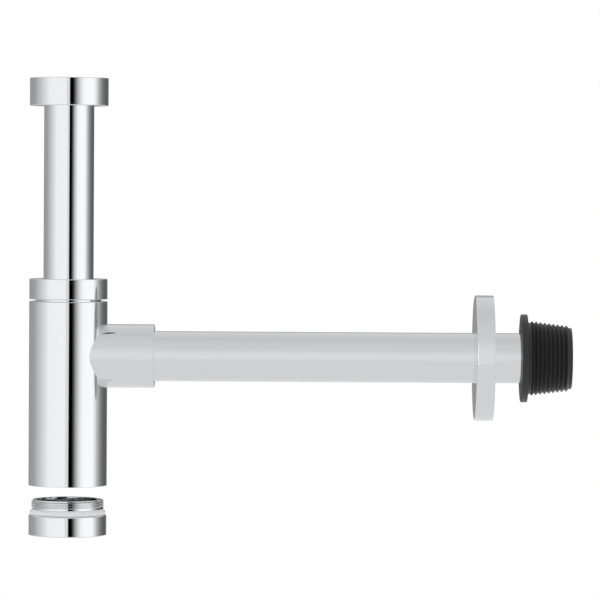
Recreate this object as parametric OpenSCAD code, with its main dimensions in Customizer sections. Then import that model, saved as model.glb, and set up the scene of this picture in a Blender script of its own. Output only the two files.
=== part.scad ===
// Adjustable basin trap: a bottle trap of chrome-plated brass for a washbasin waste.
// Up is +Z and the outlet runs along +X. The origin is on the inlet axis, at the
// foot of the coupling nut's thread, just above the washer that the basin waste
// is screwed down on.
// The cleaning cap is shown unscrewed, a little below the bottle.

/* [Tubes] */
// Outside diameter of the inlet and outlet tubes
tube_d = 32; // [28:0.5:38]
// Wall of both tubes
tube_wall = 1; // [0.7:0.1:1.6]
// Length of inlet tube that shows between the coupling nut and the collar nut
inlet_sight = 110.3; // [85:0.1:200]
// Length of inlet tube below the top of the bottle, which dips into the water
dip_len = 99.4; // [70:0.1:102]
// Length of the outlet tube from end to end
outlet_tube_len = 287.4; // [240:0.1:400]

/* [Coupling nut] */
// How much wider the inside of the inlet thread is than the tube
thread_over = 6.95; // [6:0.05:9]
// Depth of the inlet thread from crest to root
thread_depth = 1.5; // [1.2:0.1:1.8]
// Wall of the coupling nut outside the thread
nut_wall = 4.1; // [3:0.1:6]
// Height of the coupling nut above the foot of its thread
nut_above_foot = 10.8; // [8:0.1:16]
// Thickness of the lip that pulls the tube's rim up
nut_lip = 2.8; // [2:0.1:4]
// Thickness of the inlet washer
inlet_washer_t = 1.8; // [1.5:0.1:3]
// Thickness of the tube's turned-out rim
rim_t = 1.2; // [0.9:0.1:1.6]
// Thickness of the slip ring under the rim
coupling_ring_t = 1; // [0.6:0.1:1.5]

/* [Collar nut] */
// Height of the collar nut
collar_h = 13.1; // [11:0.1:20]
// Wall of the collar nut outside its thread
collar_wall = 2.8; // [2:0.1:5]
// Thickness of the collar nut's lip
collar_lip = 2.4; // [1.8:0.1:4]
// Thickness of the slip ring between the lip and the conical seal
collar_ring_t = 0.8; // [0.5:0.1:1.5]
// Gap between the collar nut and the bottle when the joint is tight
collar_gap = 1.2; // [0.6:0.1:3]
// Radial width of the conical seal at its top
cone_seal_w = 3.4; // [2.8:0.1:4.5]
// Radial width of the conical seal at its foot
cone_seal_foot_w = 1.1; // [0.8:0.1:2]
// Height of the conical part of the seal
cone_seal_h = 7.5; // [5:0.1:8.5]
// How far the seal stands proud of its seat before it is squeezed
cone_seal_proud = 0.5; // [0.3:0.1:1]
// Wall of the neck between its seat and its thread
neck_wall = 2.6; // [2:0.1:4]

/* [Bottle] */
// Outside diameter of the bottle
bottle_d = 50; // [47:0.5:70]
// Wall of the drawn bottle shell
shell_wall = 0.7; // [0.6:0.1:2]
// Thickness of the shell's top
shell_top_t = 1.4; // [1:0.1:3]
// Height of the bottle shell
bottle_h = 117.7; // [105:0.1:180]
// Length of the neck's spigot inside the shell
spigot_len = 3; // [2:0.1:6]
// Wall of the neck's spigot
spigot_wall = 2.1; // [1.5:0.1:3]
// Thickness of the threaded ring in the mouth of the bottle
base_ring_wall = 1; // [0.6:0.1:2]
// Height of the threaded ring in the mouth of the bottle
base_ring_h = 9; // [7:0.1:16]

/* [Outlet branch] */
// Distance from the top of the bottle down to the outlet axis
outlet_drop = 34.8; // [28:0.1:45]
// Distance from the inlet axis to the end of the branch
branch_reach = 55.2; // [50:0.1:80]
// Wall of the branch outside its bore
branch_wall = 4.1; // [3.6:0.1:6]
// Radius of the water way from the bottle into the branch
waterway_r = 14; // [10:0.1:14.5]
// Distance from the inlet axis to the shoulder that stops the tube
stop_reach = 26.6; // [25.5:0.1:28]
// Room between the tube and the shoulder as fitted
stop_room = 6.4; // [5:0.1:9]
// Thickness of the two O-rings
o_ring_t = 2.4; // [1.8:0.1:2.8]
// Width of each O-ring groove
groove_w = 2.8; // [2.6:0.1:3.6]
// Distance from the branch's end to the middle of the outer groove
outer_groove_in = 7.2; // [4:0.1:9]
// Distance between the two grooves
groove_pitch = 9; // [5:0.1:9.4]

/* [Wall flange] */
// Diameter of the wall flange
flange_d = 80; // [66:0.5:120]
// Depth of the wall flange
flange_depth = 11.8; // [9:0.1:25]
// Length of bare outlet tube between the flange's back and the wall seal
flange_gap = 17.8; // [5:0.1:120]
// Sheet thickness of the flange
flange_t = 1; // [0.8:0.1:2]
// Outer radius of the rounded front edge
flange_edge_r = 1.2; // [0.5:0.1:3]
// Length of the hub behind the front
hub_len = 5.4; // [4.8:0.1:7]
// Wall of the hub
hub_wall = 0.8; // [0.6:0.1:2]
// Thickness of the ring that grips the tube
grip_t = 2.5; // [2:0.1:3]

/* [Wall seal] */
// How far the seal's small end stands out past the tube's end
seal_past_tube = 0.95; // [0.3:0.05:1.5]
// Thickness of the seal's collar
seal_collar_t = 4; // [2:0.1:6]
// How far the collar stands out past the first ridge
seal_collar_over = 4.1; // [2:0.1:8]
// How far the plain neck lies inside the first ridge
seal_neck_under = 1.1; // [0.8:0.1:1.4]
// Length of the plain neck between the collar and the first ridge's foot
seal_neck_len = 2.4; // [1:0.1:6]
// Number of ridges
ridge_count = 9; // [3:1:12]
// Distance from ridge to ridge
ridge_pitch = 2.75; // [2:0.05:3.5]
// Depth of the valleys between the ridges
ridge_depth = 1.5; // [0.8:0.1:2]
// How much smaller the last ridge's radius is than the first
ridge_taper = 2.8; // [0.5:0.1:3.6]
// How far the last valley stands proud of the plain small end
last_valley_over = 0.2; // [0:0.1:1]
// Rubber between the tube and the plain small end
seal_end_wall = 3.45; // [2:0.05:5]
// Length of the plain small end
seal_end_len = 1.8; // [1.5:0.1:8]
// Depth of the two reliefs that leave three lips round the tube
lip_relief = 1.2; // [0.5:0.1:1.6]

/* [Cleaning cap] */
// Distance from the mouth of the bottle to the cap that was taken off
cap_drop = 8.9; // [6:0.1:20]
// Height of the cap's thread
cap_thread_h = 6.2; // [5:0.1:9]
// Height of the cap's rim
cap_rim_h = 13.1; // [8:0.1:25]
// How much smaller the rim's radius is than the bottle's
cap_rim_inset = 0.15; // [0:0.05:1]
// Height of the cap washer
cap_washer_t = 3.6; // [2:0.1:5]
// Depth of the groove that the washer sits in
washer_groove = 0.85; // [0.5:0.05:1.2]
// How far the washer's widest line lies below its top
washer_bevel_h = 1.1; // [0.6:0.1:1.8]
// How much smaller the washer's foot is than its widest line
washer_foot_in = 0.5; // [0.2:0.05:0.7]
// Wall of the cap's threaded part, inside the groove
cap_wall = 1.8; // [1.2:0.1:3]
// Thickness of the cap's floor
cap_floor = 3; // [1.5:0.1:5]
// Radius of the round between the cup's wall and its floor
cup_corner_r = 2; // [0.5:0.1:5]

/* [Fits and edges] */
// Radial clearance of a seal or ring that grips a tube
grip_fit = 0.05; // [0.02:0.01:0.1]
// Radial clearance of a tube in a metal bore
tube_fit = 0.15; // [0.1:0.01:0.3]
// Extra radial clearance of the inlet tube in the neck and the collar nut
guide_ease = 0.2; // [0.1:0.05:0.4]
// Radial clearance between the two halves of a screw thread
thread_fit = 0.15; // [0.1:0.01:0.3]
// Radial clearance of a loose ring in its nut
ring_fit = 0.3; // [0.2:0.05:0.5]
// Radius of the softened outside edges
edge_r = 0.5; // [0.2:0.05:0.6]

/* [Hidden] */
$fn = 96;
over = 1; // how far a cut runs past the surface it opens

tube_r = tube_d / 2;
tube_bore_r = tube_r - tube_wall;

// Coupling nut, from the foot of its thread at height 0 downwards
washer_room = 0.2; // between the thread's foot and the inlet washer
washer_top = -washer_room;
rim_top = washer_top - inlet_washer_t;
rim_foot = rim_top - rim_t;
lip_top = rim_foot - coupling_ring_t;
nut_foot = lip_top - nut_lip;
thread_r = (tube_d + thread_over) / 2;
relief_r = thread_r + thread_depth;
nut_r = relief_r + nut_wall;
nut_bore_r = tube_r + tube_fit;
thread_chamfer = 1.2;
washer_bore_in = 0.4; // how far the washer's bore stands inside the tube's
washer_r = thread_r - ring_fit;
rim_r = thread_r - 2 * ring_fit;
rim_bend_r = tube_wall * 0.8; // inside of the bend where the rim is turned out
rim_edge_r = rim_t * 0.3;

// Collar nut and conical seal
collar_top = nut_foot - inlet_sight;
collar_foot = collar_top - collar_h;
collar_ring_top = collar_top - collar_lip;
cone_top = collar_ring_top - collar_ring_t;
neck_top = cone_top - cone_seal_proud;
cone_foot = neck_top - cone_seal_h;
cone_top_r = tube_r + cone_seal_w;
cone_foot_r = tube_r + cone_seal_foot_w;
neck_r = cone_top_r + neck_wall;
collar_bore_r = neck_r + thread_fit;
collar_r = collar_bore_r + collar_wall;
collar_hole_r = tube_r + tube_fit + guide_ease;
seat_fit = 0.06; // gap between the conical seal and its seat
seat_depth = 0.3; // how far the seat runs on below the seal

// Bottle
bottle_top = collar_foot - collar_gap;
bottle_foot = bottle_top - bottle_h;
bottle_r = bottle_d / 2;
shell_r = bottle_r - shell_wall;
neck_bore_r = tube_r + tube_fit + guide_ease;
spigot_r = neck_bore_r + spigot_wall;
base_bore_r = shell_r - base_ring_wall;
base_ring_foot = bottle_foot + cap_washer_t; // leaves the cap washer its room in the mouth
shell_foot_edge_r = shell_wall * 0.3;
dip_foot = bottle_top - dip_len;

// Outlet branch, with its section drawn outwards along the outlet axis
outlet_z = bottle_top - outlet_drop;
branch_bore_r = tube_r + tube_fit;
branch_r = branch_bore_r + branch_wall;
groove_r = tube_r + grip_fit + o_ring_t + grip_fit;
outer_groove = branch_reach - outer_groove_in;
inner_groove = outer_groove - groove_pitch;
outlet_start = stop_reach + stop_room;
outlet_end = outlet_start + outlet_tube_len;
lead_in = 0.8; // chamfer that guides the tube into the branch

// Wall seal, pushed on the end of the outlet tube
seal_bore_r = tube_r + grip_fit;
seal_end_r = seal_bore_r + seal_end_wall;
last_ridge_r = seal_end_r + last_valley_over + ridge_depth;
first_ridge_r = last_ridge_r + ridge_taper;
seal_collar_r = first_ridge_r + seal_collar_over;
seal_neck_r = first_ridge_r - seal_neck_under;
seal_end = outlet_end + seal_past_tube;
ridges_end = seal_end - seal_end_len;
first_ridge = ridges_end - (ridge_count - 0.5) * ridge_pitch;
seal_neck_end = first_ridge - ridge_pitch / 4;
seal_reach = seal_neck_end - seal_neck_len - seal_collar_t;
lip_w = 2; // width of each lip in the bore
relief_len = (seal_end - seal_reach - 3 * lip_w) / 2;

// Wall flange, in front of the seal
flange_r = flange_d / 2;
flange_back = seal_reach - flange_gap;
flange_reach = flange_back - flange_depth;
grip_mid_r = tube_r + grip_fit + grip_t / 2;
hub_bore_r = tube_r + grip_t + 2 * grip_fit;
hub_lip_r = tube_r + grip_t / 2;
flange_hole_r = tube_r + 4 * tube_fit;

// Cleaning cap, which turns on the inlet axis
cap_top = bottle_foot - cap_drop;
cap_thread_foot = cap_top - cap_thread_h;
cap_rim_top = cap_thread_foot - cap_washer_t;
cap_foot = cap_rim_top - cap_rim_h;
cap_thread_r = base_bore_r - thread_fit;
cap_groove_r = cap_thread_r - washer_groove;
cap_bore_r = cap_groove_r - cap_wall;
cap_rim_r = bottle_r - cap_rim_inset;
cap_chamfer = 0.6;
washer_bore_r = cap_groove_r + grip_fit;
washer_top_r = cap_thread_r - tube_fit;
washer_mid_r = shell_r - grip_fit; // the washer's widest line, which fills the bottle's mouth
washer_foot_r = washer_mid_r - washer_foot_in;

chrome = "silver";
rubber = "#252527";
white_seal = "#e9edee";

// Turns a section about the inlet axis: the radius runs across and the height up
module about_inlet() {
    rotate_extrude() children();
}

// Turns a section about the outlet axis: its height is the distance from the inlet axis
module about_outlet() {
    translate([0, 0, outlet_z]) rotate([0, 90, 0]) rotate_extrude() children();
}

// A plain band of a section between two radii and two heights
module band(r1, r2, h1, h2) {
    translate([r1, h1]) square([r2 - r1, h2 - h1]);
}

// What comes off to round the corner of a section at radius r and height h.
// out and up are 1 or -1 and say which way the corner points.
module corner(r, h, round_r, out, up) {
    difference() {
        translate([min(r - out * round_r, r + out * over), min(h - up * round_r, h + up * over)])
            square(round_r + over);
        translate([r - out * round_r, h - up * round_r]) circle(round_r);
    }
}

// What comes off to chamfer the corner of a section by c
module chamfer(r, h, c, out, up) {
    polygon([[r - out * c, h + up * over], [r - out * c, h], [r, h - up * c],
             [r + out * over, h - up * c], [r + out * over, h + up * over]]);
}

// The union nut that draws the tube's rim up against the basin waste
module coupling_nut() {
    color(chrome) about_inlet() difference() {
        band(nut_bore_r, nut_r, nut_foot, nut_above_foot);
        band(0, relief_r, lip_top, 0);
        band(0, thread_r, lip_top, nut_above_foot + over);
        chamfer(thread_r, nut_above_foot, thread_chamfer, -1, 1);
        chamfer(nut_bore_r, nut_foot, edge_r, -1, -1);
        corner(nut_r, nut_above_foot, edge_r, 1, 1);
        corner(nut_r, nut_foot, edge_r, 1, -1);
    }
}

// The friction ring that lets the nut turn without turning the tube
module coupling_slip_ring() {
    color(white_seal) about_inlet()
        band(tube_r + ring_fit, rim_r, lip_top, rim_foot);
}

// The flat washer that the basin waste presses on
module inlet_washer() {
    color(rubber) about_inlet()
        band(tube_bore_r - washer_bore_in, washer_r, rim_top, washer_top);
}

// The tube with its rim turned out at the top; it slides in the collar and dips into the water
module inlet_tube() {
    color(chrome) about_inlet() difference() {
        union() {
            band(tube_bore_r, tube_r, dip_foot, rim_top);
            band(tube_bore_r, rim_r, rim_foot, rim_top);
        }
        corner(tube_bore_r, rim_top, rim_bend_r, -1, 1);
        corner(rim_r, rim_top, rim_edge_r, 1, 1);
    }
}

// The nut that squeezes the conical seal onto the tube
module collar_nut() {
    color(chrome) about_inlet() difference() {
        band(collar_hole_r, collar_r, collar_foot, collar_top);
        band(0, collar_bore_r, collar_foot - over, collar_ring_top);
        chamfer(collar_hole_r, collar_top, edge_r, -1, 1);
        chamfer(collar_bore_r, collar_foot, edge_r, -1, -1);
        corner(collar_r, collar_top, edge_r, 1, 1);
        corner(collar_r, collar_foot, edge_r, 1, -1);
    }
}

// The friction ring between the collar nut's lip and the seal
module collar_slip_ring() {
    color(white_seal) about_inlet()
        band(tube_r + ring_fit, collar_bore_r - ring_fit, cone_top, collar_ring_top);
}

// The conical seal that the collar nut presses into the neck
module collar_seal() {
    color(rubber) about_inlet()
        polygon([[tube_r + grip_fit, cone_foot], [cone_foot_r, cone_foot], [cone_top_r, neck_top],
                 [cone_top_r, cone_top], [tube_r + grip_fit, cone_top]]);
}

// The drawn shell: a tube closed at the top, with holes for the neck and the branch
module bottle_shell() {
    color(chrome) difference() {
        about_inlet() difference() {
            band(spigot_r, bottle_r, bottle_foot, bottle_top);
            band(0, shell_r, bottle_foot - over, bottle_top - shell_top_t);
            corner(bottle_r, bottle_top, edge_r, 1, 1);
            corner(bottle_r, bottle_foot, shell_foot_edge_r, 1, -1);
        }
        translate([0, 0, outlet_z]) rotate([0, 90, 0]) cylinder(r = waterway_r, h = bottle_r + over);
    }
}

// The turned neck, brazed into the shell's top: outside thread, cone seat and guide bore
module neck_ring() {
    color(chrome) about_inlet() difference() {
        union() {
            band(neck_bore_r, neck_r, bottle_top, neck_top);
            band(neck_bore_r, spigot_r, bottle_top - shell_top_t - spigot_len, bottle_top);
        }
        polygon([[0, neck_top + over], [cone_top_r + seat_fit, neck_top + over],
                 [cone_top_r + seat_fit, neck_top], [cone_foot_r + seat_fit, cone_foot],
                 [cone_foot_r + seat_fit, cone_foot - seat_depth], [0, cone_foot - seat_depth]]);
        chamfer(neck_r, neck_top, edge_r, 1, 1);
    }
}

// The threaded ring brazed into the mouth of the bottle, for the cleaning cap
module base_ring() {
    color(chrome) about_inlet() difference() {
        band(base_bore_r, shell_r, base_ring_foot, base_ring_foot + base_ring_h);
        chamfer(base_bore_r, base_ring_foot, base_ring_wall / 2, -1, -1);
    }
}

// The groove of one O-ring, at a distance from the inlet axis
module o_ring_groove(reach) {
    band(0, groove_r, reach - groove_w / 2, reach + groove_w / 2);
}

// One O-ring in the branch
module o_ring(reach) {
    color(rubber) about_outlet()
        translate([tube_r + grip_fit + o_ring_t / 2, reach]) circle(o_ring_t / 2);
}

// The branch, saddle-cut to the bottle and brazed on; its bore takes the outlet tube
module outlet_branch() {
    color(chrome) difference() {
        about_outlet() difference() {
            band(0, branch_r, 0, branch_reach);
            band(0, waterway_r, -over, stop_reach + over);
            band(0, branch_bore_r, stop_reach, branch_reach + over);
            o_ring_groove(inner_groove);
            o_ring_groove(outer_groove);
            chamfer(branch_bore_r, branch_reach, lead_in, -1, 1);
            corner(branch_r, branch_reach, edge_r, 1, 1);
        }
        translate([0, 0, outlet_z - branch_r - over])
            cylinder(r = bottle_r, h = 2 * (branch_r + over));
    }
}

module outlet_o_ring_inner() {
    o_ring(inner_groove);
}

module outlet_o_ring_outer() {
    o_ring(outer_groove);
}

// The plain tube that slides in the branch and runs to the wall
module outlet_tube() {
    color(chrome) about_outlet() band(tube_bore_r, tube_r, outlet_start, outlet_end);
}

// The pressed cover for the hole in the wall, open at the back, with a hub round the tube
module wall_flange() {
    hub_end = flange_reach + flange_t + hub_len;
    color(chrome) about_outlet() difference() {
        band(flange_hole_r, flange_r, flange_reach, flange_back);
        difference() {
            band(0, flange_r - flange_t, flange_reach + flange_t, flange_back + over);
            band(hub_bore_r, hub_bore_r + hub_wall, flange_reach, hub_end);
            band(hub_lip_r, hub_bore_r + hub_wall, hub_end - hub_wall, hub_end);
            corner(flange_r - flange_t, flange_reach + flange_t, flange_t, 1, -1);
        }
        corner(flange_r, flange_reach, flange_edge_r, 1, -1);
    }
}

// The ring inside the hub that holds the flange where it is pushed
module flange_grip_ring() {
    color(rubber) about_outlet()
        translate([grip_mid_r, flange_reach + flange_t + (hub_len - hub_wall) / 2])
            circle(grip_t / 2);
}

// The ribbed rubber cone that seals the tube in the waste pipe behind the wall
module wall_seal() {
    // the sawtooth of crests, at whole numbers, and valleys half way between them
    ridges = [for (half = [0:2 * ridge_count - 2])
        let (i = half / 2, valley = half % 2 == 1 ? ridge_depth : 0)
            [first_ridge_r - ridge_taper * i / (ridge_count - 1) - valley, first_ridge + i * ridge_pitch]];
    color(rubber) about_outlet() difference() {
        union() {
            band(seal_bore_r, seal_collar_r, seal_reach, seal_reach + seal_collar_t);
            polygon(concat(
                [[seal_bore_r, seal_reach], [seal_neck_r, seal_reach], [seal_neck_r, seal_neck_end]],
                ridges,
                [[seal_end_r, ridges_end], [seal_end_r, seal_end], [seal_bore_r, seal_end]]));
        }
        for (i = [0:1])
            translate([0, seal_reach + lip_w + i * (relief_len + lip_w)])
                band(0, seal_bore_r + lip_relief, 0, relief_len);
        corner(seal_collar_r, seal_reach, edge_r, 1, -1);
        corner(seal_collar_r, seal_reach + seal_collar_t, edge_r, 1, 1);
    }
}

// The hollow cap that closes the bottle and catches what falls in
module cleaning_cap() {
    color(chrome) about_inlet() difference() {
        union() {
            band(0, cap_rim_r, cap_foot, cap_rim_top);
            band(0, cap_groove_r, cap_foot, cap_top);
            band(0, cap_thread_r, cap_thread_foot, cap_top);
        }
        difference() {
            band(0, cap_bore_r, cap_foot + cap_floor, cap_top + over);
            corner(cap_bore_r, cap_foot + cap_floor, cup_corner_r, 1, -1);
        }
        chamfer(cap_thread_r, cap_top, cap_chamfer, 1, 1);
        corner(cap_rim_r, cap_rim_top, edge_r / 2, 1, 1);
        corner(cap_rim_r, cap_foot, edge_r, 1, -1);
    }
}

// The bevelled washer in the groove under the cap's thread
module cap_washer() {
    color(white_seal) about_inlet()
        polygon([[washer_bore_r, cap_rim_top], [washer_foot_r, cap_rim_top],
                 [washer_mid_r, cap_thread_foot - washer_bevel_h],
                 [washer_top_r, cap_thread_foot], [washer_bore_r, cap_thread_foot]]);
}

coupling_nut();
coupling_slip_ring();
inlet_washer();
inlet_tube();
collar_nut();
collar_slip_ring();
collar_seal();
bottle_shell();
neck_ring();
base_ring();
outlet_branch();
outlet_o_ring_inner();
outlet_o_ring_outer();
outlet_tube();
wall_flange();
flange_grip_ring();
wall_seal();
cleaning_cap();
cap_washer();
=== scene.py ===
"""Adjustable basin trap: polished chrome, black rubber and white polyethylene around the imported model."""
import math

import bmesh
import bpy
from mathutils import Matrix, Vector


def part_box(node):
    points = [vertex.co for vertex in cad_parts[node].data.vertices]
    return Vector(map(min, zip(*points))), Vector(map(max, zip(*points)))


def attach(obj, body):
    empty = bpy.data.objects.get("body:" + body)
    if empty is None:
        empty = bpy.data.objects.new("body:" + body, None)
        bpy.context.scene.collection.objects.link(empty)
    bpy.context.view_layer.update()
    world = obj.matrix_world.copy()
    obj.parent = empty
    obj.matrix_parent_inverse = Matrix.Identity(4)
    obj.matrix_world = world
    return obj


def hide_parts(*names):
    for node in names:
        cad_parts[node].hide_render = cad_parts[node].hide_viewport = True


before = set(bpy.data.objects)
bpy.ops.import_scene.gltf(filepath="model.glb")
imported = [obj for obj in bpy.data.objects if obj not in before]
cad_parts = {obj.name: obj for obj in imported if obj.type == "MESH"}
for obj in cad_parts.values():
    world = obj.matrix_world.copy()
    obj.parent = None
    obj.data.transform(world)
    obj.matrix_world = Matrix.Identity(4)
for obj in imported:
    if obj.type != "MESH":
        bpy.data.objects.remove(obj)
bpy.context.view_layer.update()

MM = 0.001
TURN = 2 * math.pi

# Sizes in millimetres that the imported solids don't show
GAS_PITCH = 25.4 / 11        # G 1 1/4 thread of the coupling nut
GAS_DEPTH = 1.48
COLLAR_PITCH = 2.0
COLLAR_DEPTH = 1.25
CAP_PITCH = 1.5
CAP_DEPTH = 0.92
CREST_FLAT = 0.18            # width of a thread's crest, as a share of its pitch
SPIN_STEPS = 192             # round a large chromed surface, so that no facet shows in it
THREAD_STEPS = 96            # round one turn of a thread


# Frame values

def span(node, axis):
    """Lowest and highest value of a node along one axis, in millimetres."""
    low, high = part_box(node)
    return low[axis] / MM, high[axis] / MM


def reach(node):
    """Outer radius of a turned node about its own axis, in millimetres."""
    low, high = span(node, 1)
    return (high - low) / 2


OUTLET_Z = sum(span("outlet_tube", 2)) / 2
TUBE_R = reach("outlet_tube")


# Modelling helpers

def deselect():
    bpy.ops.object.select_all(action="DESELECT")


def select_only(piece):
    deselect()
    piece.select_set(True)
    bpy.context.view_layer.objects.active = piece


def apply_modifier(piece, kind, **settings):
    """Adds a modifier to a piece, sets it and applies it."""
    select_only(piece)
    modifier = piece.modifiers.new(kind.title(), kind)
    for name, value in settings.items():
        setattr(modifier, name, value)
    bpy.ops.object.modifier_apply(modifier=modifier.name)


def draw_section(name, corners):
    """Draws a closed outline of (radius, height, rounding) corners in the XZ plane, in millimetres."""
    deselect()
    radius, height, _ = corners[0]
    bpy.ops.mesh.primitive_plane_add(size=MM, location=(radius * MM, 0, height * MM))
    piece = bpy.context.object
    piece.name = piece.data.name = name
    bpy.ops.object.transform_apply(location=True)
    bpy.ops.object.mode_set(mode="EDIT")
    bpy.ops.mesh.select_mode(type="VERT")
    bpy.ops.mesh.select_all(action="SELECT")
    bpy.ops.mesh.merge(type="CENTER")
    for (r0, h0, _), (r1, h1, _) in zip(corners, corners[1:]):
        step = ((r1 - r0) * MM, 0, (h1 - h0) * MM)
        bpy.ops.mesh.extrude_vertices_move(TRANSFORM_OT_translate={"value": step})
    drawn = bmesh.from_edit_mesh(piece.data)
    drawn.verts.ensure_lookup_table()
    for vert in drawn.verts:
        vert.select = vert.index in (0, len(corners) - 1)
    bmesh.update_edit_mesh(piece.data)
    bpy.ops.mesh.edge_face_add()
    for radius, height, rounding in corners:
        if rounding:
            round_corner(piece, Vector((radius, 0, height)) * MM, rounding)
    return piece


def round_corner(piece, place, rounding, segments=5):
    """Rounds one corner of a section that is open in edit mode."""
    bpy.ops.mesh.select_all(action="DESELECT")
    drawn = bmesh.from_edit_mesh(piece.data)
    for vert in drawn.verts:
        vert.select = (vert.co - place).length < 1e-6
    bmesh.update_edit_mesh(piece.data)
    bpy.ops.mesh.bevel(affect="VERTICES", offset=rounding * MM, segments=segments, profile=0.5)


def smooth(piece, angle=30):
    """Smooth shading that lets the broad faces keep their true normals, with sharp edges past an angle."""
    select_only(piece)
    bpy.ops.object.shade_smooth_by_angle(angle=math.radians(angle))
    apply_modifier(piece, "WEIGHTED_NORMAL", keep_sharp=True, weight=100)


def turned(name, corners, steps=SPIN_STEPS):
    """Turns a section about the Z axis into a closed piece."""
    piece = draw_section(name, corners)
    bpy.ops.mesh.select_all(action="SELECT")
    bpy.ops.mesh.spin(steps=steps, angle=TURN, center=(0, 0, 0), axis=(0, 0, 1))
    bpy.ops.mesh.select_all(action="SELECT")
    bpy.ops.mesh.remove_doubles(threshold=0.001 * MM)
    bpy.ops.mesh.normals_make_consistent(inside=False)
    bpy.ops.object.mode_set(mode="OBJECT")
    return piece


def lay_on_outlet(piece):
    """Turns a piece that was made about Z to lie about the outlet axis, with its height along +X."""
    select_only(piece)
    piece.data.transform(Matrix.Translation((0, 0, OUTLET_Z * MM)) @ Matrix.Rotation(math.pi / 2, 4, "Y"))
    return piece


def thread(name, root_r, crest_r, pitch, foot, top, base=0.15):
    """A helical ridge between two heights, from the root radius to the crest radius, with closed ends."""
    inwards = -1 if crest_r < root_r else 1
    root = root_r - inwards * base
    half_root, half_crest = pitch * 0.46, pitch * CREST_FLAT / 2
    turns = (top - foot) / pitch - 1
    start = foot + pitch / 2
    corners = [(root, start - half_root, 0), (crest_r, start - half_crest, 0),
               (crest_r, start + half_crest, 0), (root, start + half_root, 0)]
    piece = draw_section(name, corners)
    bpy.ops.object.mode_set(mode="OBJECT")
    apply_modifier(piece, "SCREW", axis="Z", angle=TURN * turns, screw_offset=pitch * turns * MM,
                   steps=round(THREAD_STEPS * turns), render_steps=round(THREAD_STEPS * turns),
                   use_merge_vertices=True, merge_threshold=0.001 * MM)
    bpy.ops.object.mode_set(mode="EDIT")
    bpy.ops.mesh.select_all(action="DESELECT")
    bpy.ops.mesh.select_non_manifold()
    bpy.ops.mesh.edge_face_add()
    bpy.ops.mesh.select_all(action="SELECT")
    bpy.ops.mesh.normals_make_consistent(inside=False)
    bpy.ops.object.mode_set(mode="OBJECT")
    return piece


def join(piece, *others):
    """Joins other meshes into a piece."""
    select_only(piece)
    for other in others:
        other.select_set(True)
    bpy.ops.object.join()
    return piece


def cut(piece, radius, depth, centre, along="Z"):
    """Cuts a round hole or saddle of a radius out of a piece, about an axis through a centre."""
    deselect()
    turn = (0, 0, 0) if along == "Z" else (0, math.pi / 2, 0)
    bpy.ops.mesh.primitive_cylinder_add(vertices=256, radius=radius * MM, depth=depth * MM,
                                        location=Vector(centre) * MM, rotation=turn)
    cutter = bpy.context.object
    apply_modifier(piece, "BOOLEAN", operation="DIFFERENCE", object=cutter, solver="EXACT")
    bpy.data.objects.remove(cutter)


# Material helpers

def linear(hex_colour):
    """The linear colour of an sRGB hex value."""
    channels = [int(hex_colour[i:i + 2], 16) / 255 for i in (1, 3, 5)]
    return [c / 12.92 if c <= 0.04045 else ((c + 0.055) / 1.055) ** 2.4 for c in channels] + [1]


def add(tree, kind, settings=None, **links):
    """Adds a node, sets its properties and inputs, and links the sockets that are given."""
    node = tree.nodes.new(kind)
    for name, value in (settings or {}).items():
        if isinstance(name, int) or name in node.inputs:
            node.inputs[name].default_value = value
        else:
            setattr(node, name, value)
    for name, source in links.items():
        tree.links.new(source, node.inputs[name.replace("_", " ")])
    return node


def new_material(name):
    """A material with its Principled shader, which also gives its Object coordinates."""
    material = bpy.data.materials.new(name)
    material.use_nodes = True
    tree = material.node_tree
    shader = tree.nodes["Principled BSDF"]
    place = add(tree, "ShaderNodeTexCoord").outputs["Object"]
    return material, tree, shader, place


def chrome_plate():
    """Bright chrome plate over buffed brass: a mirror with a faint haze."""
    material, tree, shader, place = new_material("bright_chrome_plate")
    shader.inputs["Base Color"].default_value = linear("#dcdde0")
    shader.inputs["Metallic"].default_value = 1
    haze = add(tree, "ShaderNodeTexNoise", {"Scale": 60, "Detail": 4}, Vector=place)
    rough = add(tree, "ShaderNodeMapRange", {"To Min": 0.02, "To Max": 0.05}, Value=haze.outputs["Fac"])
    tree.links.new(rough.outputs["Result"], shader.inputs["Roughness"])
    return material


def bare_brass():
    """Drawn brass without plating inside the tubes: dull yellow with a faint length grain."""
    material, tree, shader, place = new_material("unplated_brass")
    grain = add(tree, "ShaderNodeTexNoise", {"Scale": 400, "Detail": 6}, Vector=place)
    tone = add(tree, "ShaderNodeValToRGB", Fac=grain.outputs["Fac"])
    tone.color_ramp.elements[0].color = linear("#8d7440")
    tone.color_ramp.elements[1].color = linear("#c9ab68")
    tree.links.new(tone.outputs["Color"], shader.inputs["Base Color"])
    shader.inputs["Metallic"].default_value = 1
    rough = add(tree, "ShaderNodeMapRange", {"To Min": 0.25, "To Max": 0.4}, Value=grain.outputs["Fac"])
    tree.links.new(rough.outputs["Result"], shader.inputs["Roughness"])
    return material


def moulded_rubber():
    """Moulded black rubber: satin, with the very fine texture of the mould."""
    material, tree, shader, place = new_material("moulded_black_rubber")
    shader.inputs["Base Color"].default_value = linear("#1b1b1d")
    shader.inputs["Roughness"].default_value = 0.42
    shader.inputs["IOR"].default_value = 1.52
    grain = add(tree, "ShaderNodeTexNoise", {"Scale": 1500, "Detail": 3}, Vector=place)
    bump = add(tree, "ShaderNodeBump", {"Strength": 0.12, "Distance": 0.0002}, Height=grain.outputs["Fac"])
    tree.links.new(bump.outputs["Normal"], shader.inputs["Normal"])
    return material


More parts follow.
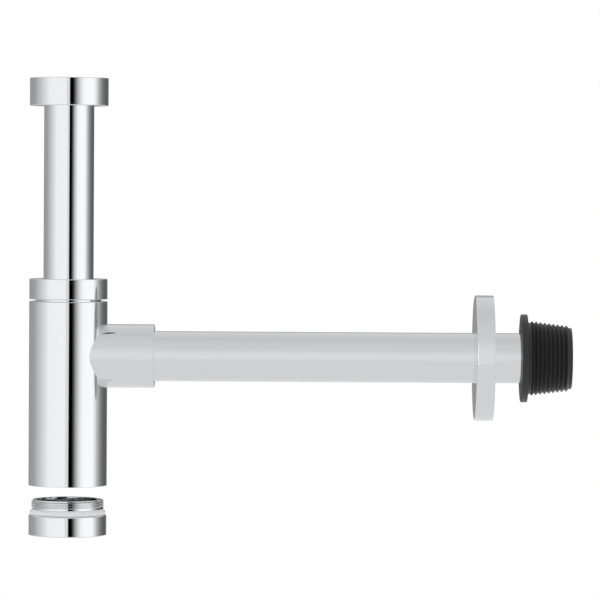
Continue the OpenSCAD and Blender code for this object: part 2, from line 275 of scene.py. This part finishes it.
def polyethylene():
    """Natural polyethylene: milky white, slightly see-through at thin edges, with a waxy sheen."""
    material, tree, shader, place = new_material("natural_polyethylene")
    shader.inputs["Base Color"].default_value = linear("#e6ebec")
    shader.inputs["Roughness"].default_value = 0.35
    shader.inputs["IOR"].default_value = 1.51
    shader.inputs["Subsurface Weight"].default_value = 0.4
    shader.inputs["Subsurface Radius"].default_value = (0.002, 0.002, 0.002)
    shader.inputs["Subsurface Scale"].default_value = 1
    cloud = add(tree, "ShaderNodeTexNoise", {"Scale": 120, "Detail": 2}, Vector=place)
    bump = add(tree, "ShaderNodeBump", {"Strength": 0.05, "Distance": 0.0002}, Height=cloud.outputs["Fac"])
    tree.links.new(bump.outputs["Normal"], shader.inputs["Normal"])
    return material


CHROME = chrome_plate()
BRASS = bare_brass()
RUBBER = moulded_rubber()
POLY = polyethylene()


def dress(piece, body, node, slot, *materials):
    """Gives a finished piece its materials and its body, and hides the node that it stands for."""
    piece.data.materials.clear()
    for material in materials:
        piece.data.materials.append(material)
    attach(piece, body)
    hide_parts(node)


def brass_inside(piece, choose):
    """Gives the second material to the faces that a test picks by their centre and normal."""
    for face in piece.data.polygons:
        if choose(face.center / MM, face.normal):
            face.material_index = 1


# Pieces about the inlet axis

def make_coupling_nut():
    foot, top = span("coupling_nut", 2)
    outer = reach("coupling_nut")
    root = outer - 4.1
    lip_top = span("coupling_slip_ring", 2)[0]
    bore = TUBE_R + 0.15
    body = turned("coupling_nut_turned", [
        (bore, foot, 0.35), (outer, foot, 0.5), (outer, top, 0.5), (root + 0.3, top, 0.2),
        (root, top - 0.6, 0), (root, lip_top, 0), (bore, lip_top, 0)])
    ridge = thread("coupling_thread", root, root - GAS_DEPTH, GAS_PITCH, -0.6, top - 0.2)
    join(body, ridge)
    smooth(body)
    dress(body, "coupling_nut", "coupling_nut", "chrome", CHROME)


def make_inlet_tube():
    foot, top = span("inlet_tube", 2)
    rim_foot = span("coupling_slip_ring", 2)[1]
    rim = reach("inlet_tube")
    bore = TUBE_R - 1
    tube = turned("inlet_tube_drawn", [
        (bore, foot, 0.1), (TUBE_R, foot, 0.2), (TUBE_R, rim_foot, 0.3), (rim, rim_foot, 0.2),
        (rim, top, 0.4), (bore, top, 0.9)])
    smooth(tube)
    dress(tube, "inlet_tube", "inlet_tube", "chrome", CHROME, BRASS)
    brass_inside(tube, lambda centre, normal: math.hypot(centre.x, centre.y) < bore + 0.05)


def make_collar_nut():
    foot, top = span("collar_nut", 2)
    outer = reach("collar_nut")
    root = outer - 2.8 + COLLAR_DEPTH
    lip_foot = span("collar_slip_ring", 2)[1]
    bore = TUBE_R + 0.35
    body = turned("collar_nut_turned", [
        (bore, lip_foot, 0), (bore, top, 0.3), (outer, top, 0.5), (outer, foot, 0.5),
        (root, foot, 0.3), (root, lip_foot, 0)])
    ridge = thread("collar_thread", root, root - COLLAR_DEPTH, COLLAR_PITCH, foot + 0.2, lip_foot - 0.6)
    join(body, ridge)
    smooth(body)
    dress(body, "collar_nut", "collar_nut", "chrome", CHROME)


def make_bottle_shell():
    foot, top = span("bottle_shell", 2)
    outer = reach("bottle_shell")
    inner = outer - 0.7
    spigot = 18.45
    shell = turned("bottle_shell_drawn", [
        (inner, foot, 0.1), (outer, foot, 0.2), (outer, top, 0.6), (spigot, top, 0),
        (spigot, top - 1.4, 0), (inner, top - 1.4, 1.2)], steps=256)
    cut(shell, 14, 2 * outer, (outer, 0, OUTLET_Z), along="X")
    smooth(shell)
    dress(shell, "bottle", "bottle_shell", "chrome", CHROME, BRASS)
    brass_inside(shell, lambda centre, normal: math.hypot(centre.x, centre.y) < inner + 0.05
                 and centre.z < top - 1)


def make_neck_ring():
    foot, top = span("neck_ring", 2)
    outer = reach("neck_ring")
    root = outer - COLLAR_DEPTH + 0.02
    shell_top = span("bottle_shell", 2)[1]
    seal_foot = span("collar_seal", 2)[0]
    bore, spigot = TUBE_R + 0.35, 18.45
    neck = turned("neck_ring_turned", [
        (bore, foot, 0), (spigot, foot, 0.3), (spigot, shell_top, 0), (root, shell_top, 0), (root, top, 0.3),
        (19.46, top, 0), (17.16, seal_foot, 0), (17.16, seal_foot - 0.3, 0), (bore, seal_foot - 0.3, 0)])
    ridge = thread("neck_thread", root, outer, COLLAR_PITCH, shell_top + 0.4, top - 0.1)
    join(neck, ridge)
    smooth(neck)
    dress(neck, "bottle", "neck_ring", "chrome", CHROME)


def make_base_ring():
    foot, top = span("base_ring", 2)
    outer = reach("base_ring")
    root, crest = outer - 0.1, outer - 1
    ring = turned("base_ring_turned", [(root, foot, 0), (outer, foot, 0), (outer, top, 0), (root, top, 0)])
    ridge = thread("base_thread", root, crest, CAP_PITCH, foot, top)
    join(ring, ridge)
    smooth(ring)
    dress(ring, "bottle", "base_ring", "chrome", CHROME)


def make_cleaning_cap():
    foot, top = span("cleaning_cap", 2)
    washer_foot, washer_top = span("cap_washer", 2)
    outer = reach("cleaning_cap")
    crest, groove, cup = 23.15, 22.3, 20.5
    root = crest - CAP_DEPTH
    cap = turned("cleaning_cap_turned", [
        (0, foot, 0), (outer, foot, 0.5), (outer, washer_foot, 1), (groove, washer_foot, 0),
        (groove, washer_top, 0), (root, washer_top, 0), (root, top, 0.3), (cup, top, 0.3),
        (cup, foot + 3, 2), (0, foot + 3, 0)])
    ridge = thread("cap_thread", root, crest, CAP_PITCH, washer_top, top)
    join(cap, ridge)
    smooth(cap)
    dress(cap, "cleaning_cap", "cleaning_cap", "chrome", CHROME)


def make_cap_washer():
    foot, top = span("cap_washer", 2)
    outer = reach("cap_washer")
    washer = turned("cap_washer_moulded", [
        (22.35, foot, 0), (outer - 0.5, foot, 0.15), (outer, top - 1.6, 0.2), (23, top, 0.15), (22.35, top, 0)])
    smooth(washer)
    dress(washer, "cap_washer", "cap_washer", "white_seal", POLY)


# Pieces about the outlet axis

def make_outlet_branch():
    reach_out = span("outlet_branch", 0)[1]
    outer = reach("outlet_branch")
    bore = TUBE_R + 0.15
    branch = turned("outlet_branch_turned", [
        (14, 0, 0), (outer, 0, 0), (outer, reach_out, 0.5), (bore, reach_out, 0.6),
        (bore, 26.6, 0), (14, 26.6, 0)], steps=256)
    lay_on_outlet(branch)
    shell_r = reach("bottle_shell")
    cut(branch, shell_r, 3 * outer, (0, 0, OUTLET_Z))
    smooth(branch)
    dress(branch, "bottle", "outlet_branch", "chrome", CHROME)


def make_outlet_tube():
    start, end = span("outlet_tube", 0)
    bore = TUBE_R - 1
    tube = turned("outlet_tube_drawn", [
        (bore, start, 0.2), (TUBE_R, start, 0.3), (TUBE_R, end, 0.3), (bore, end, 0.2)])
    lay_on_outlet(tube)
    smooth(tube)
    dress(tube, "outlet_tube", "outlet_tube", "chrome", CHROME, BRASS)
    axis_z = OUTLET_Z
    brass_inside(tube, lambda centre, normal: math.hypot(centre.y, centre.z - axis_z) < bore + 0.05)


def make_wall_flange():
    front, back = span("wall_flange", 0)
    outer = reach("wall_flange")
    hub_end = front + 6.4
    flange = turned("wall_flange_pressed", [
        (16.6, front, 0.2), (outer, front, 1.2), (outer, back, 0.15), (outer - 1, back, 0.15),
        (outer - 1, front + 1, 0.8), (19.4, front + 1, 0.2), (19.4, hub_end, 0.2), (17.25, hub_end, 0.2),
        (17.25, hub_end - 0.8, 0.1), (18.6, hub_end - 0.8, 0), (18.6, front + 1, 0), (16.6, front + 1, 0)],
        steps=256)
    lay_on_outlet(flange)
    smooth(flange)
    dress(flange, "wall_flange", "wall_flange", "chrome", CHROME)


def make_wall_seal():
    front, end = span("wall_seal", 0)
    collar = reach("wall_seal")
    ridges, pitch, depth = 9, 2.75, 1.5
    first_r, last_r, small_r = 23.975, 21.175, 19.5
    ridges_end = end - 1.8
    first = ridges_end - (ridges - 0.5) * pitch
    corners = [(16.05, front, 0.2), (collar, front, 0.4), (collar, front + 4, 0.4), (first_r - 1.1, front + 4, 0.3),
               (first_r - 1.1, first - pitch / 4, 0.1)]
    for half in range(2 * ridges - 1):
        i = half / 2
        crest = first_r - (first_r - last_r) * i / (ridges - 1)
        corners.append((crest - depth * (half % 2), first + i * pitch, 0.12))
    corners += [(small_r, ridges_end, 0.1), (small_r, end, 0.4), (16.05, end, 0.2)]
    relief = (end - front - 6) / 2
    for stop in (end - 2, end - 2 - relief):
        if stop == end - 2:
            corners += [(16.05, stop, 0.2), (17.25, stop, 0.2), (17.25, stop - relief, 0.2),
                        (16.05, stop - relief, 0.2)]
        else:
            corners += [(16.05, stop - 2, 0.2), (17.25, stop - 2, 0.2), (17.25, stop - 2 - relief, 0.2),
                        (16.05, stop - 2 - relief, 0.2)]
    seal = turned("wall_seal_moulded", corners, steps=144)
    lay_on_outlet(seal)
    smooth(seal, angle=50)
    dress(seal, "wall_seal", "wall_seal", "black_rubber", RUBBER)


make_coupling_nut()
make_inlet_tube()
make_collar_nut()
make_bottle_shell()
make_neck_ring()
make_base_ring()
make_cleaning_cap()
make_cap_washer()
make_outlet_branch()
make_outlet_tube()
make_wall_flange()
make_wall_seal()

# The small rings stay as they are, with their own finish
for node, material in (("coupling_slip_ring", POLY), ("collar_slip_ring", POLY), ("inlet_washer", RUBBER),
                       ("collar_seal", RUBBER), ("outlet_o_ring_inner", RUBBER), ("outlet_o_ring_outer", RUBBER),
                       ("flange_grip_ring", RUBBER)):
    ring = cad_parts[node]
    ring.data.materials.clear()
    ring.data.materials.append(material)


# Camera, at the photo's angle

PIXEL = 0.6387               # millimetres of the object to one pixel of the photo
PHOTO = 600                  # pixels to each side of the photo
CAMERA_AWAY = 2600
CENTRE_X, CENTRE_Z = 147.9, -130.0
EYE_Z = -63.0
ROLL = 0.35                  # degrees
SENSOR = 36.0

camera_data = bpy.data.cameras.new("camera")
camera = bpy.data.objects.new("camera", camera_data)
bpy.context.scene.collection.objects.link(camera)
eye = Vector((CENTRE_X, -CAMERA_AWAY, EYE_Z)) * MM
target = Vector((CENTRE_X, 0, CENTRE_Z)) * MM
facing = (target - eye).to_track_quat("-Z", "Y").to_matrix().to_4x4()
camera.matrix_world = Matrix.Translation(eye) @ facing @ Matrix.Rotation(math.radians(ROLL), 4, "Z")
camera_data.sensor_width = SENSOR
camera_data.lens = SENSOR * (target - eye).length / MM / (PIXEL * PHOTO)
camera_data.clip_end = 50
bpy.context.scene.camera = camera


# Studio

FLOOR_DROP = 330             # from the cap's foot down to the floor


def make_floor():
    deselect()
    low = span("cleaning_cap", 2)[0] - FLOOR_DROP
    bpy.ops.mesh.primitive_circle_add(vertices=96, radius=2.6, fill_type="NGON", location=(0.1, 0, low * MM))
    floor = bpy.context.object
    floor.name = "floor"
    material = bpy.data.materials.new("pale_floor")
    material.use_nodes = True
    shader = material.node_tree.nodes["Principled BSDF"]
    shader.inputs["Base Color"].default_value = linear("#e6e6e6")
    shader.inputs["Roughness"].default_value = 0.9
    shader.inputs["Emission Color"].default_value = linear("#ffffff")
    shader.inputs["Emission Strength"].default_value = 0.25
    floor.data.materials.append(material)


def make_world():
    world = bpy.data.worlds.new("white_tent")
    bpy.context.scene.world = world
    world.use_nodes = True
    tree = world.node_tree
    tree.nodes.clear()
    way = add(tree, "ShaderNodeTexCoord").outputs["Generated"]
    split = add(tree, "ShaderNodeSeparateXYZ", Vector=way)
    back = add(tree, "ShaderNodeMath", {"operation": "MULTIPLY", 1: -1})
    tree.links.new(split.outputs["Y"], back.inputs[0])
    azimuth = add(tree, "ShaderNodeMath", {"operation": "ARCTAN2"})
    tree.links.new(split.outputs["X"], azimuth.inputs[0])
    tree.links.new(back.outputs[0], azimuth.inputs[1])
    elevation = add(tree, "ShaderNodeMath", {"operation": "ARCSINE"})
    tree.links.new(split.outputs["Z"], elevation.inputs[0])

    def ramp(source, low, high, stops):
        """A grey ramp over an angle in degrees, from (angle, grey) stops."""
        share = add(tree, "ShaderNodeMapRange", {"From Min": math.radians(low), "From Max": math.radians(high)},
                    Value=source)
        node = add(tree, "ShaderNodeValToRGB", Fac=share.outputs["Result"])
        node.color_ramp.interpolation = "LINEAR"
        elements = node.color_ramp.elements
        while len(elements) < len(stops):
            elements.new(0.5)
        for element, (angle, grey) in zip(elements, stops):
            element.position = (angle - low) / (high - low)
            element.color = (grey, grey, grey, 1)
        return node.outputs["Color"]

    walls = ramp(azimuth.outputs[0], -180, 180, [
        (-180, 0.30), (-157, 0.36), (-115, 0.46), (-91, 0.72), (-72, 0.94), (-55, 1.18), (-6, 1.2), (-3, 0.95),
        (4, 0.95), (5.5, 0.0), (15, 0.0), (20, 0.12), (26, 0.45), (34, 0.85), (44, 1.22), (56, 1.31), (80, 1.31),
        (91, 0.98), (99, 0.64), (107, 0.45), (120, 0.234), (135, 0.15), (150, 0.13), (180, 0.30)])
    dome = ramp(elevation.outputs[0], -90, 90, [
        (-90, 0.78), (-60, 0.88), (-38, 0.87), (-20, 0.92), (0, 0.93), (14, 0.9), (30, 0.83), (60, 0.8), (90, 0.74)])
    height = add(tree, "ShaderNodeMath", {"operation": "ABSOLUTE"})
    tree.links.new(elevation.outputs[0], height.inputs[0])
    blend = add(tree, "ShaderNodeMapRange", {"interpolation_type": "SMOOTHSTEP", "From Min": math.radians(6),
                                             "From Max": math.radians(40)}, Value=height.outputs[0])
    light = add(tree, "ShaderNodeMix", {"data_type": "RGBA"})
    tree.links.new(blend.outputs["Result"], light.inputs["Factor"])
    tree.links.new(walls, light.inputs[6])
    tree.links.new(dome, light.inputs[7])
    tent = add(tree, "ShaderNodeBackground", Color=light.outputs[2])
    white = add(tree, "ShaderNodeBackground", {"Color": (1, 1, 1, 1)})
    seen = add(tree, "ShaderNodeLightPath").outputs["Is Camera Ray"]
    either = add(tree, "ShaderNodeMixShader", Fac=seen)
    tree.links.new(tent.outputs[0], either.inputs[1])
    tree.links.new(white.outputs[0], either.inputs[2])
    add(tree, "ShaderNodeOutputWorld", Surface=either.outputs[0])


make_floor()
make_world()
bpy.context.scene.view_settings.view_transform = "Standard"

deselect()
